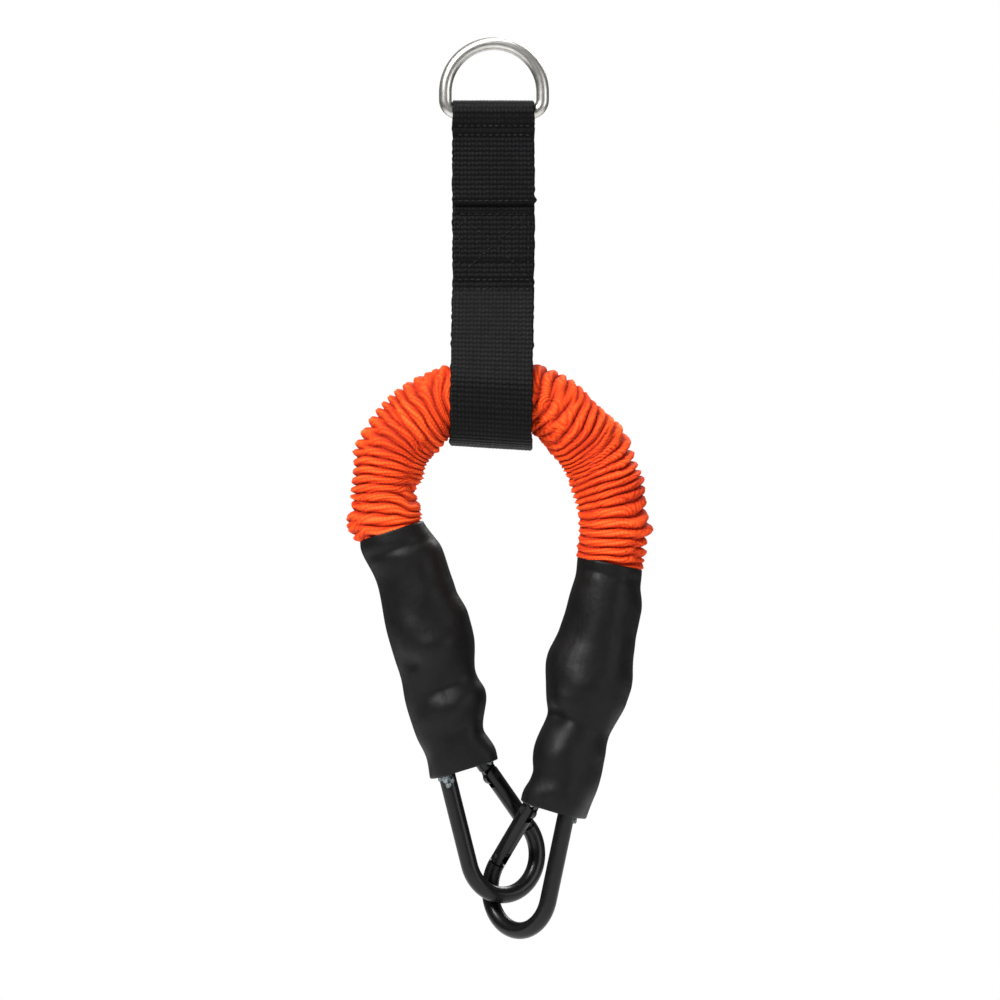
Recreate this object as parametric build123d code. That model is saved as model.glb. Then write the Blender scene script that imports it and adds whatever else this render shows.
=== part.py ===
from build123d import *
import os
from math import asin, cos, radians, sin, sqrt

# Elastic bungee tether. A D-ring hangs the whole part, a webbing strap folds and swings below it,
# and the strap's loop carries an arch of latex tube in a bunched fabric sleeve. Each end of the
# arch is closed by a heat-shrink boot that grips a snap hook, and the two hooks are clipped
# through each other. Origin: the D-ring's upper inner bearing point. +Z up, +Y to the back.

# ---- Driving dimensions, in millimetres and degrees ----
RING_WIRE_D = 3.8          # wire of the D-ring
RING_BOW_R = 14.6          # centreline radius of the bow
RING_CORNER_R = 4.0        # centreline radius of the two lower corners
RING_BAR_Z = -18.9         # centreline height of the straight bar

STRAP_WIDTH = 24.4         # 25 mm webbing as woven
PLY = 1.3                  # webbing thickness
STRAP_EYE_R = 2.55         # inside radius of the turn round the bar
PLIES_MEET_Z = -25.0       # where the turned plies lie flat together
FRONT_END_Z = -46.4        # cut end of the front ply
FOLD_Z = -74.0             # fold line, where the strap opens into its lower loop
LOOP_R = 12.55             # outer radius of the lower loop
LOOP_UPPER_Z = -102.3      # centre of the loop's upper round
LOOP_LOWER_Z = -105.7      # centre of the loop's lower round

ARCH_R = 34.8              # centreline radius of the bungee's arch
ARCH_Z = -137.1            # centre of the arch
SLEEVE_R = 10.8            # bunched sleeve, outer radius
SLEEVE_TUCK_R = 8.2        # sleeve where the heat-shrink covers it
SLEEVE_TUCK = 12.0         # length of sleeve inside the heat-shrink
CORE_R = 6.5               # latex tube, outer radius
CORE_BORE_R = 3.5          # latex tube, inner radius
CORE_TUCK = 30.0           # length of latex tube inside the heat-shrink

BOOT_WALL = 1.2            # heat-shrink wall

HOOK_WIRE_D = 5.1          # round wire of the snap hooks
HOOK_BOW_R = 12.4          # centreline radius of the wide end
HOOK_TOP_R = 6.1           # centreline radius of the narrow end
HOOK_SPAN = 31.0           # distance between the two centres
GATE_REACH = 20.6          # gate hinge to the start of the bow
GATE_LENGTH = 19.8         # gate hinge to the gate's tip
GATE_D = 5.0               # gate rod
EAR_SLOT = 2.4             # slot in each end of the gate
TONGUE_THICK = 1.8         # flat tongues of the hook body that enter the slots
PIN_R = 0.8                # hinge pin
PIN_CLEARANCE = 0.05       # hinge pin in the hook body's tongue
LATCH_PIN_R = 0.75         # cross pin at the gate's tip
PLUNGER_R = 1.0
GATE_BORE_R = 1.1

# ---- Small helpers ----


def node(name, shape):
    """Write one sub-part, named as its node."""
    solids = shape.solids()
    item = solids[0] if len(solids) == 1 else Compound(children=list(solids))
    item.label = name
    export_step(item, f"parts/{name}.step")


def round_bar(path, radius):
    """A round bar of the given radius along a path of tangent lines and arcs."""
    start = Plane(origin=path @ 0, z_dir=path % 0)
    return sweep(start * Circle(radius), path=path)


def side_extrude(face, width):
    """Extrude a face that lies in the YZ plane to both sides along X."""
    return extrude(face, amount=width / 2, both=True)


# ---- D-ring ----


def d_ring():
    half = RING_BOW_R
    bow_z = RING_WIRE_D / 2 - RING_BOW_R
    corner = RING_CORNER_R
    bend = corner * (1 - sin(radians(45)))
    left, right = -half, half
    outline = [
        ThreePointArc((right, 0, bow_z), (0, 0, bow_z + half), (left, 0, bow_z)),
        Line((left, 0, bow_z), (left, 0, RING_BAR_Z + corner)),
        ThreePointArc((left, 0, RING_BAR_Z + corner), (left + bend, 0, RING_BAR_Z + bend),
                      (left + corner, 0, RING_BAR_Z)),
        Line((left + corner, 0, RING_BAR_Z), (right - corner, 0, RING_BAR_Z)),
        ThreePointArc((right - corner, 0, RING_BAR_Z), (right - bend, 0, RING_BAR_Z + bend),
                      (right, 0, RING_BAR_Z + corner)),
        Line((right, 0, RING_BAR_Z + corner), (right, 0, bow_z)),
    ]
    return round_bar(Wire(outline), RING_WIRE_D / 2)


# ---- Strap ----


def strap_upper():
    eye_outer = STRAP_EYE_R + PLY
    wedge_top = FOLD_Z + 2.6
    tip_z, tip_half = FOLD_Z + 0.6, 0.3
    # The front has one ply more than the back, down to its cut end.
    outline = Plane.YZ * Polyline(
        (eye_outer, RING_BAR_Z), (PLY, PLIES_MEET_Z), (PLY, wedge_top), (tip_half, tip_z),
        (-tip_half, tip_z), (-PLY, wedge_top), (-PLY, FRONT_END_Z), (-2 * PLY, FRONT_END_Z),
        (-2 * PLY, PLIES_MEET_Z), (-eye_outer, RING_BAR_Z), (eye_outer, RING_BAR_Z))
    eye_place = Plane(origin=(0, 0, RING_BAR_Z), x_dir=(0, 1, 0), z_dir=(1, 0, 0))
    body = side_extrude(make_face(outline), STRAP_WIDTH)
    body += side_extrude(eye_place * Circle(eye_outer), STRAP_WIDTH)
    gusset = Plane.YZ * Polyline(
        (STRAP_EYE_R, RING_BAR_Z), (0, PLIES_MEET_Z + PLY), (-STRAP_EYE_R, RING_BAR_Z),
        (STRAP_EYE_R, RING_BAR_Z))
    body -= side_extrude(make_face(gusset), STRAP_WIDTH + 2)
    body -= side_extrude(eye_place * Circle(STRAP_EYE_R), STRAP_WIDTH + 2)
    return body


def teardrop(radius, apex_z):
    """Closed outline in the YZ plane: an apex, two tangent sides and a long round bottom."""
    half_angle = asin(radius / (apex_z - LOOP_UPPER_Z))
    touch_y = radius * cos(half_angle)
    touch_z = LOOP_UPPER_Z + radius * sin(half_angle)
    mid_y = radius * cos(half_angle / 2)
    mid_z = LOOP_UPPER_Z + radius * sin(half_angle / 2)
    edges = [
        Line((0, 0, apex_z), (0, touch_y, touch_z)),
        ThreePointArc((0, touch_y, touch_z), (0, mid_y, mid_z), (0, radius, LOOP_UPPER_Z)),
        Line((0, radius, LOOP_UPPER_Z), (0, radius, LOOP_LOWER_Z)),
        ThreePointArc((0, radius, LOOP_LOWER_Z), (0, 0, LOOP_LOWER_Z - radius),
                      (0, -radius, LOOP_LOWER_Z)),
        Line((0, -radius, LOOP_LOWER_Z), (0, -radius, LOOP_UPPER_Z)),
        ThreePointArc((0, -radius, LOOP_UPPER_Z), (0, -mid_y, mid_z), (0, -touch_y, touch_z)),
        Line((0, -touch_y, touch_z), (0, 0, apex_z)),
    ]
    return Face(Wire(edges))


def strap_loop():
    half_angle = asin(LOOP_R / (FOLD_Z - LOOP_UPPER_Z))
    inner_apex = FOLD_Z - PLY / sin(half_angle)
    outer = side_extrude(teardrop(LOOP_R, FOLD_Z), STRAP_WIDTH)
    return outer - side_extrude(teardrop(LOOP_R - PLY, inner_apex), STRAP_WIDTH + 2)


def stitch_row(z, front_y, back_y, start=(-10.8), end=10.8, count=11):
    """A straight row of lockstitches along X, seen on the front and on the back."""
    length = 0.72 * (end - start) / count
    thread = 0.3
    row = []
    for i in range(count):
        x = start + (end - start) * (i + 0.5) / count
        for y in (front_y, back_y):
            row.append(Pos(x, y, z) * Rot(0, 90, 0) * Cylinder(thread, length))
    return row


def stitch_line(x0, z0, x1, z1, front_y, back_y, count):
    """A slanted or upright row of lockstitches in the XZ plane."""
    thread = 0.3
    run = Vector(x1 - x0, 0, z1 - z0)
    direction = run.normalized()
    length = 0.72 * run.length / count
    row = []
    for i in range(count):
        middle = Vector(x0, 0, z0) + run * ((i + 0.5) / count)
        for y in (front_y, back_y):
            place = Plane(origin=(middle.X, y, middle.Z), z_dir=direction)
            row.append(place * Cylinder(thread, length))
    return row


def cross_box():
    """The sewn box with its two diagonals, below the front ply's cut end."""
    half, top, bottom = 10.2, -48.9, -68.6
    front, back = -PLY, PLY
    rows = []
    for x in (-half, half):
        rows += stitch_line(x, top - 0.8, x, bottom + 0.8, front, back, 8)
    rows += stitch_row(top, front, back, start=-half, end=half, count=9)
    rows += stitch_line(-half + 1.6, top - 1.6, -1.2, (top + bottom) / 2 + 1.2, front, back, 5)
    rows += stitch_line(half - 1.6, top - 1.6, 1.2, (top + bottom) / 2 + 1.2, front, back, 5)
    rows += stitch_line(-half + 1.6, bottom + 1.6, -1.2, (top + bottom) / 2 - 1.2, front, back, 5)
    rows += stitch_line(half - 1.6, bottom + 1.6, 1.2, (top + bottom) / 2 - 1.2, front, back, 5)
    return rows


# ---- Bungee: each leg is a straight axis from the end of the arch to the boot's mouth ----


class Leg:
    """One end of the bungee: its axis, its boot's sections and its snap hook's pose."""

    def __init__(self, side, top, mouth, sections, hook_at, lean, roll, pitch):
        self.side = side
        self.top = Vector(*top)
        self.mouth = Vector(*mouth)
        self.down = (self.mouth - self.top).normalized()
        self.across = Vector(-self.down.Z, 0, self.down.X)
        self.length = (self.mouth - self.top).length
        self.sections = sections
        # The hook's own frame: X towards its gate, Y from the bow to the narrow end.
        width = Vector(1, 0, 0).rotate(Axis.Z, roll).rotate(Axis.X, pitch).rotate(Axis.Y, lean)
        along = Vector(0, 0, 1).rotate(Axis.X, pitch).rotate(Axis.Y, lean)
        gate_side = 1 if side == "left" else -1
        width = width * gate_side
        self.hook = Plane(origin=hook_at, x_dir=width, z_dir=width.cross(along))

    def plane(self, s, offset=0.0, depth=0.0):
        """The plane across the leg at distance s below its top."""
        origin = self.top + self.down * s + self.across * offset + Vector(0, depth, 0)
        return Plane(origin=origin, x_dir=self.across, z_dir=self.down)


# Boot sections: distance from the top, sideways offset, backward offset, half width, half depth
# and turn. The boot follows the lumps inside it and turns with its hook towards the mouth.
LEFT_SECTIONS = [
    (0.0, 0.0, 0.0, 9.9, 9.9, 0), (6.0, 1.2, 0.0, 11.6, 10.9, 0), (17.0, 1.9, 0.0, 11.0, 10.8, 0),
    (28.0, 2.3, 0.0, 12.3, 11.6, 0), (36.0, 1.6, 0.3, 12.0, 11.3, 0),
    (43.0, 0.7, 0.8, 10.9, 10.3, 0), (50.0, 1.0, 1.3, 11.7, 10.2, -4),
    (60.0, -0.9, 1.9, 10.3, 9.6, -12), (68.0, -0.1, 2.5, 10.6, 8.6, -22),
    (74.0, 0.0, 3.2, 10.9, 7.2, -31)]
RIGHT_SECTIONS = [
    (0.0, 0.0, 0.0, 9.9, 9.9, 0), (7.0, 0.3, 0.0, 10.4, 10.4, 0), (15.0, 1.3, 0.0, 11.3, 10.9, 0),
    (23.0, 0.8, 0.0, 11.7, 11.3, 0), (30.0, 0.3, 0.0, 12.7, 11.8, 0),
    (37.0, 1.5, -0.6, 12.7, 11.6, 0), (46.0, 1.9, -1.8, 10.9, 10.4, 6),
    (55.0, 0.2, -3.4, 10.5, 10.0, 16), (65.0, 0.6, -4.6, 10.3, 9.0, 30),
    (74.3, 0.0, -3.2, 10.9, 7.0, 42)]

LEFT = Leg("left", (-30.6, 0, -144.6), (-8.7, 0, -215.4), LEFT_SECTIONS,
           hook_at=(2.6, 9.3, -241.8), lean=-23.9, roll=31.5, pitch=11.2)
RIGHT = Leg("right", (34.65, 0, -154.35), (18.6, 0, -228.0), RIGHT_SECTIONS,
            hook_at=(7.7, 4.0, -252.1), lean=20.3, roll=-42.5, pitch=14.9)


def bungee_path(extra):
    """Centreline of the bungee, from inside the left boot over the arch into the right boot."""
    arch_top = Vector(0, 0, ARCH_Z + ARCH_R)
    left_bend = 20.0
    left_lean = asin(LEFT.down.X)
    right_lean = asin(-RIGHT.down.X)
    # Left shoulder: the arch ends early and a tighter bend takes the path to the vertical.
    arch_left = radians(66)
    shoulder = Vector(-ARCH_R * sin(arch_left), 0, ARCH_Z + ARCH_R * cos(arch_left))
    vertical = radians(90) - arch_left
    hip = shoulder + Vector(-left_bend * (1 - cos(vertical)), 0, -left_bend * sin(vertical))
    left_knee = knee_points(hip, 1, left_bend, left_lean, LEFT)
    right_bend = 25.0
    right_hip = Vector(ARCH_R, 0, ARCH_Z)
    right_knee = knee_points(right_hip, -1, right_bend, right_lean, RIGHT)
    return Wire([
        Line(LEFT.top + LEFT.down * extra, left_knee[2]),
        ThreePointArc(left_knee[2], left_knee[1], left_knee[0]),
        Line(left_knee[0], hip),
        ThreePointArc(hip, bend_middle(hip, shoulder, left_bend), shoulder),
        ThreePointArc(shoulder, arch_top, right_hip),
        Line(right_hip, right_knee[0]),
        ThreePointArc(right_knee[0], right_knee[1], right_knee[2]),
        Line(right_knee[2], RIGHT.top + RIGHT.down * extra),
    ])


def knee_points(hip, inward, bend, lean, leg):
    """Start, middle and end of the arc that turns a vertical run onto the leg's axis."""
    side_shift = bend * (1 - cos(lean))
    drop = bend * sin(lean)
    end_x = hip.X + inward * side_shift
    end_z = leg.top.Z + (end_x - leg.top.X) / leg.down.X * leg.down.Z
    start = Vector(hip.X, 0, end_z + drop)
    half = lean / 2
    middle = start + Vector(inward * bend * (1 - cos(half)), 0, -bend * sin(half))
    return start, middle, Vector(end_x, 0, end_z)


def bend_middle(hip, shoulder, bend):
    """Middle point of the left shoulder's arc, whose centre is level with the hip."""
    centre = Vector(hip.X + bend, 0, hip.Z)
    chord = (hip + shoulder) * 0.5
    return centre + (chord - centre).normalized() * bend


def elastic_core():
    outer = round_bar(bungee_path(CORE_TUCK), CORE_R)
    return outer - round_bar(bungee_path(CORE_TUCK + 1), CORE_BORE_R)


def fabric_sleeve():
    shown = round_bar(bungee_path(0.0), SLEEVE_R)
    tucked = round_bar(bungee_path(SLEEVE_TUCK), SLEEVE_TUCK_R)
    return shown + tucked - round_bar(bungee_path(SLEEVE_TUCK + 1), CORE_R + 0.1)


def oval(half_width, half_depth, turn):
    """A turned ellipse whose seam stays on the X axis, so that stacked ovals loft without twist."""
    points = []
    count = 12
    for i in range(count):
        angle = radians(360 * i / count)
        along = cos(angle - radians(turn)) / half_width
        across = sin(angle - radians(turn)) / half_depth
        radius = 1 / sqrt(along ** 2 + across ** 2)
        points.append((radius * cos(angle), radius * sin(angle)))
    return make_face(Spline(*points, periodic=True))


def boot_loft(leg, inset):
    """The boot's skin, or with an inset its cavity, lofted through the boot's sections."""
    rings = []
    last = len(leg.sections) - 1
    for i, (s, offset, depth, half_width, half_depth, turn) in enumerate(leg.sections):
        reach = s
        if inset and i == 0:
            reach = s - 0.5
        if inset and i == last:
            reach = s + 0.5
        section = oval(half_width - inset, half_depth - inset, turn)
        rings.append(leg.plane(reach, offset, depth) * section)
    return loft(rings)


def heat_shrink(leg):
    return boot_loft(leg, 0.0) - boot_loft(leg, BOOT_WALL)


def sleeve_tie(leg):
    """Two turns of binding cord that hold the sleeve's end on the latex tube."""
    turns = []
    for s in (4.6, 6.4):
        turns.append(leg.plane(s) * Torus(SLEEVE_TUCK_R, 0.7))
    return turns[0] + turns[1]


# ---- Snap hook, in its own frame ----

HOOK_WIRE_R = HOOK_WIRE_D / 2
LEG_SLOPE = asin((HOOK_BOW_R - HOOK_TOP_R) / HOOK_SPAN)
BOW_TOUCH = (HOOK_BOW_R * cos(LEG_SLOPE), HOOK_BOW_R * sin(LEG_SLOPE))
TOP_TOUCH = (HOOK_TOP_R * cos(LEG_SLOPE), HOOK_SPAN + HOOK_TOP_R * sin(LEG_SLOPE))
GATE_AXIS = Vector(BOW_TOUCH[0] - TOP_TOUCH[0], BOW_TOUCH[1] - TOP_TOUCH[1]).normalized()
HINGE_AT = Vector(*BOW_TOUCH) - GATE_AXIS * GATE_REACH
# The gate's own frame: X along the gate to its tip, Y into the hook's eye.
GATE_INWARD = Vector(GATE_AXIS.Y, -GATE_AXIS.X)
GATE_PLANE = Plane(origin=HINGE_AT, x_dir=GATE_AXIS, z_dir=GATE_AXIS.cross(GATE_INWARD))
STUB_END = -3.2            # end of the round wire behind the gate's hinge
NOSE_START = GATE_LENGTH + 0.5
LATCH_AT = GATE_LENGTH - 1.9
CAM_R, CAM_OFFSET = 2.1, 0.9   # round cam under the hinge, and its offset into the eye
HINGE_TONGUE_LENGTH = 5.6
NOSE_TONGUE_HEIGHT = 3.6
NOTCH_CLEARANCE = 0.3      # latch pin in the nose tongue's notch
NOTCH_TOP = 4.0


def hook_wire():
    """The hook's bent wire, from the nose round the bow and the narrow end to the hinge stub."""
    nose = HINGE_AT + GATE_AXIS * NOSE_START
    stub = HINGE_AT + GATE_AXIS * STUB_END
    bow_x, bow_y = BOW_TOUCH
    top_x, top_y = TOP_TOUCH
    path = Wire([
        Line((nose.X, nose.Y), (bow_x, bow_y)),
        ThreePointArc((bow_x, bow_y), (0, -HOOK_BOW_R), (-bow_x, bow_y)),
        Line((-bow_x, bow_y), (-top_x, top_y)),
        ThreePointArc((-top_x, top_y), (0, HOOK_SPAN + HOOK_TOP_R), (top_x, top_y)),
        Line((top_x, top_y), (stub.X, stub.Y)),
    ])
    return round_bar(path, HOOK_WIRE_R)


def hook_body():
    """Bent wire with a flat drilled tongue at the hinge and a notched tongue at the nose."""
    tongue = TONGUE_THICK / 2
    root = -0.1 - HINGE_TONGUE_LENGTH / 2
    hinge_tongue = Pos(root, 0, 0) * Box(HINGE_TONGUE_LENGTH, 2 * CAM_R, 2 * tongue)
    hinge_tongue += Pos(0, CAM_OFFSET, 0) * Cylinder(CAM_R, 2 * tongue)
    hinge_tongue -= Cylinder(PIN_R + PIN_CLEARANCE, 4 * tongue)
    nose_length = NOSE_START - LATCH_AT + 2.6
    nose_middle = NOSE_START + 0.6 - nose_length / 2
    nose_tongue = Pos(nose_middle, 0, 0) * Box(nose_length, NOSE_TONGUE_HEIGHT, 2 * tongue)
    notch = LATCH_PIN_R + NOTCH_CLEARANCE
    nose_tongue -= (Pos(LATCH_AT - 0.12, (NOTCH_TOP - notch) / 2, 0)
                    * Box(2 * notch, NOTCH_TOP + notch, 4 * tongue))
    return hook_wire() + GATE_PLANE * hinge_tongue + GATE_PLANE * nose_tongue


def gate():
    """Round rod, slotted at both ends, drilled for its pins and for its spring."""
    radius = GATE_D / 2
    ear = 2.6                  # rounded end behind the hinge, so that it clears the hook body
    wide = 1.2 * GATE_D
    middle = (GATE_LENGTH - ear) / 2
    rod = Pos(middle, 0, 0) * Rot(0, 90, 0) * Cylinder(radius, GATE_LENGTH + ear)
    rod = rod & (Pos(GATE_LENGTH / 2, 0, 0) * Box(GATE_LENGTH, wide, wide) + Cylinder(ear, wide))
    hinge_slot_end, nose_slot = 3.0, 4.7
    rod -= Pos(hinge_slot_end - 3.2, 0, 0) * Box(6.4, 7, EAR_SLOT)
    rod -= Pos(GATE_LENGTH, 0, 0) * Box(2 * nose_slot, 7, EAR_SLOT)
    rod -= Cylinder(PIN_R, 8)
    rod -= Pos(LATCH_AT, 0, 0) * Cylinder(LATCH_PIN_R, 8)
    bore_start, bore_length = 2.2, 8.8
    bore = Rot(0, 90, 0) * Cylinder(GATE_BORE_R, bore_length)
    rod -= Pos(bore_start + bore_length / 2, 0, 0) * bore
    return rod


def hinge_pin():
    head = 0.35
    pin = Cylinder(PIN_R, GATE_D)
    for side in (-1, 1):
        pin += Pos(0, 0, side * (GATE_D / 2 - head / 2 + 0.2)) * Cylinder(PIN_R + 0.35, head)
    return pin


def latch_pin():
    return Pos(LATCH_AT, 0, 0) * Cylinder(LATCH_PIN_R, GATE_D - 0.6)


PLUNGER_TIP = 2.3          # distances from the hinge along the gate
PLUNGER_END = 5.6
SPRING_END = 10.8
SPRING_WIRE_R = 0.18
SPRING_TURNS = 6


def gate_plunger():
    """Round-nosed pin that the spring presses against the hook body's cam."""
    length = PLUNGER_END - PLUNGER_TIP - PLUNGER_R
    body = Pos(PLUNGER_END - length / 2, 0, 0) * Rot(0, 90, 0) * Cylinder(PLUNGER_R, length)
    return body + Pos(PLUNGER_TIP + PLUNGER_R, 0, 0) * Sphere(PLUNGER_R)


def gate_spring():
    """Coil spring in the gate's bore, between the plunger and the bottom of the bore."""
    height = SPRING_END - PLUNGER_END - 4 * SPRING_WIRE_R
    coil_r = GATE_BORE_R - 0.1 - SPRING_WIRE_R
    helix = Helix(pitch=height / SPRING_TURNS, height=height, radius=coil_r)
    section = Plane(origin=helix @ 0, z_dir=helix % 0) * Circle(SPRING_WIRE_R)
    coil = sweep(section, path=helix, is_frenet=True)
    return Pos(PLUNGER_END + 2 * SPRING_WIRE_R, 0, 0) * Rot(0, 90, 0) * coil


# ---- Inside each boot ----

CORD_R = 1.8
CORD_BEND_R = HOOK_WIRE_R + CORD_R + 0.6
CORD_TOP = 36.0            # distance down the leg of the cord's turn through the end plug
PLUG_SHANK = 14.0
PLUG_HEAD_R, PLUG_HEAD = 7.6, 9.0
BARBS, BARB_STEP = 3, 4.0


class CordLoop:
    """The closed cord loop that joins a hook to its end plug, in its own frame."""

    def __init__(self, leg):
        eye_top = leg.hook.from_local_coords(Vector(0, HOOK_SPAN + HOOK_TOP_R, 0))
        reach = leg.plane(CORD_TOP).origin - eye_top
        along = reach.normalized()
        across = leg.hook.x_dir - along * leg.hook.x_dir.dot(along)
        self.length = reach.length
        self.place = Plane(origin=eye_top, x_dir=across, z_dir=across.cross(along))

    def cord(self):
        top = self.length
        bend = CORD_BEND_R
        path = Wire([
            ThreePointArc((0, 0, -bend), (0, -bend, 0), (0, 0, bend)),
            Line((0, 0, bend), (0, top, bend)),
            ThreePointArc((0, top, bend), (0, top + bend, 0), (0, top, -bend)),
            Line((0, top, -bend), (0, 0, -bend)),
        ])
        return self.place.location * round_bar(path, CORD_R)

    def whipping(self):
        """Binding round the two strands of the cord."""
        length = 5.0
        thick = 0.6
        half_depth = CORD_BEND_R + CORD_R
        hole = RectangleRounded(2 * CORD_R, 2 * half_depth, CORD_R - 0.05)
        block = RectangleRounded(2 * (CORD_R + thick), 2 * (half_depth + thick), CORD_R)
        across = Plane(origin=(0, 0.36 * self.length, 0), x_dir=(1, 0, 0), z_dir=(0, 1, 0))
        return self.place.location * extrude(across * (block - hole), amount=length)


def end_plug(leg, cord):
    """Barbed plug in the latex tube's end; the cord loop runs through its head."""
    shank = leg.plane(CORE_TUCK - PLUG_SHANK) * extrude(Circle(CORE_BORE_R), amount=PLUG_SHANK)
    for i in range(BARBS):
        at = CORE_TUCK - BARBS * BARB_STEP + BARB_STEP * i
        shank += leg.plane(at) * Cone(CORE_BORE_R, CORE_BORE_R + 0.5, 2.4)
    head = leg.plane(CORE_TUCK) * extrude(Circle(PLUG_HEAD_R), amount=PLUG_HEAD)
    return shank + head - cord


def adhesive_bead(leg, hook, cord):
    """Hot-melt adhesive that fills the boot's mouth round the hook's wires."""
    s, offset, depth, half_width, half_depth, turn = leg.sections[-1]
    gap = BOOT_WALL + 0.1
    shape = oval(half_width - gap, half_depth - gap, turn)
    bead = extrude(leg.plane(s - 3.0, offset, depth) * shape, amount=3.3)
    return bead - hook - cord


# ---- Write every node ----


def main():
    os.makedirs("parts", exist_ok=True)
    node("d_ring", d_ring())
    node("strap_webbing_upper", strap_upper())
    node("strap_webbing_loop", strap_loop())
    front, back = -2 * PLY, PLY
    node("stitching_ring_end", Compound(children=stitch_row(-26.4, front, back)))
    node("stitching_front_end", Compound(children=stitch_row(FRONT_END_Z + 1.3, front, back)))
    node("stitching_cross_box", Compound(children=cross_box()))
    node("stitching_loop_end", Compound(children=stitch_row(-70.4, -PLY, PLY)))
    node("elastic_core", elastic_core())
    node("fabric_sleeve", fabric_sleeve())
    for leg in (LEFT, RIGHT):
        gate_place = leg.hook * GATE_PLANE.location
        body = leg.hook.location * hook_body()
        loop = CordLoop(leg)
        cord = loop.cord()
        node(f"heat_shrink_{leg.side}", heat_shrink(leg))
        node(f"sleeve_tie_{leg.side}", sleeve_tie(leg))
        node(f"end_plug_{leg.side}", end_plug(leg, cord))
        node(f"anchor_cord_{leg.side}", cord)
        node(f"cord_whipping_{leg.side}", loop.whipping())
        node(f"adhesive_bead_{leg.side}", adhesive_bead(leg, body, cord))
        node(f"hook_body_{leg.side}", body)
        pieces = {"gate": gate(), "hinge_pin": hinge_pin(), "latch_pin": latch_pin(),
                  "gate_plunger": gate_plunger(), "gate_spring": gate_spring()}
        for name, piece in pieces.items():
            node(f"{name}_{leg.side}", gate_place * piece)


main()
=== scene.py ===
from math import acos, atan2, cos, degrees, pi, radians, sin, sqrt

import bmesh
import bpy
import numpy as np
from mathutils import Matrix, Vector


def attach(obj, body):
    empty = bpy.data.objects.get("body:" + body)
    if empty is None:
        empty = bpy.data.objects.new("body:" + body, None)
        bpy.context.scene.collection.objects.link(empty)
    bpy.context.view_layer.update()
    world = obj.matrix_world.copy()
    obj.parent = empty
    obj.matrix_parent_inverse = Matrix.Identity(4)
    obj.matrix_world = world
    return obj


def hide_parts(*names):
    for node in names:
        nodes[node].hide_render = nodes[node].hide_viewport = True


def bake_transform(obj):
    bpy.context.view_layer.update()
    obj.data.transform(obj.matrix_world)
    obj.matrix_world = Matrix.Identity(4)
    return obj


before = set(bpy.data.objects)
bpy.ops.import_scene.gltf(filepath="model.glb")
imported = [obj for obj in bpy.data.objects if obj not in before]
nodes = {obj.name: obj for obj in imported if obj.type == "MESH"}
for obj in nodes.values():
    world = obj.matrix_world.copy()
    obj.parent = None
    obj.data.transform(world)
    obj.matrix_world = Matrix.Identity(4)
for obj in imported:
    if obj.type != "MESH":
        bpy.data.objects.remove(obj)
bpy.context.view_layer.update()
MM = 0.001
SIDES = ("left", "right")
NOISE_CELLS = 32


# ---- Numbers, noise and meshes ----


def smoothstep(x, low, high):
    t = np.clip((np.asarray(x, float) - low) / (high - low), 0, 1)
    return t * t * (3 - 2 * t)


def bell(x, middle, width):
    return np.exp(-((np.asarray(x, float) - middle) / width) ** 2)


def noise3(points, size, seed):
    """Smooth value noise from -1 to 1 at points (..., 3), with features of the given size."""
    table = np.random.RandomState(seed).uniform(-1, 1, (NOISE_CELLS, NOISE_CELLS, NOISE_CELLS))
    p = np.asarray(points, float) / size + 500.0
    cell = np.floor(p).astype(int)
    f = p - cell
    f = f * f * (3 - 2 * f)
    total = 0.0
    for dx in (0, 1):
        for dy in (0, 1):
            for dz in (0, 1):
                weight = (np.abs(1 - dx - f[..., 0]) * np.abs(1 - dy - f[..., 1])
                          * np.abs(1 - dz - f[..., 2]))
                total = total + weight * table[(cell[..., 0] + dx) % NOISE_CELLS,
                                               (cell[..., 1] + dy) % NOISE_CELLS,
                                               (cell[..., 2] + dz) % NOISE_CELLS]
    return total


def blur(values, sigma):
    """Gaussian smoothing along the first axis, sigma in samples, with the ends held."""
    reach = int(sigma * 4) + 1
    kernel = np.exp(-0.5 * (np.arange(-reach, reach + 1) / sigma) ** 2)
    kernel /= kernel.sum()
    padded = np.pad(values, ((reach, reach), (0, 0)), mode="reflect", reflect_type="odd")
    return np.stack([np.convolve(padded[:, k], kernel, mode="valid")
                     for k in range(values.shape[1])], 1)


def respace(points, step):
    """The same polyline with evenly spaced points. Returns the points and their distances."""
    runs = np.linalg.norm(np.diff(points, axis=0), axis=1)
    at = np.concatenate([[0], np.cumsum(runs)])
    count = int(round(at[-1] / step)) + 1
    wanted = np.linspace(0, at[-1], count)
    return np.stack([np.interp(wanted, at, points[:, k]) for k in range(points.shape[1])], 1), wanted


def normals_of(path):
    """Unit vectors square to a flat path, on its left."""
    tangent = np.gradient(path, axis=0)
    tangent /= np.linalg.norm(tangent, axis=1)[:, None]
    return np.stack([-tangent[:, 1], tangent[:, 0]], 1)


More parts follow.
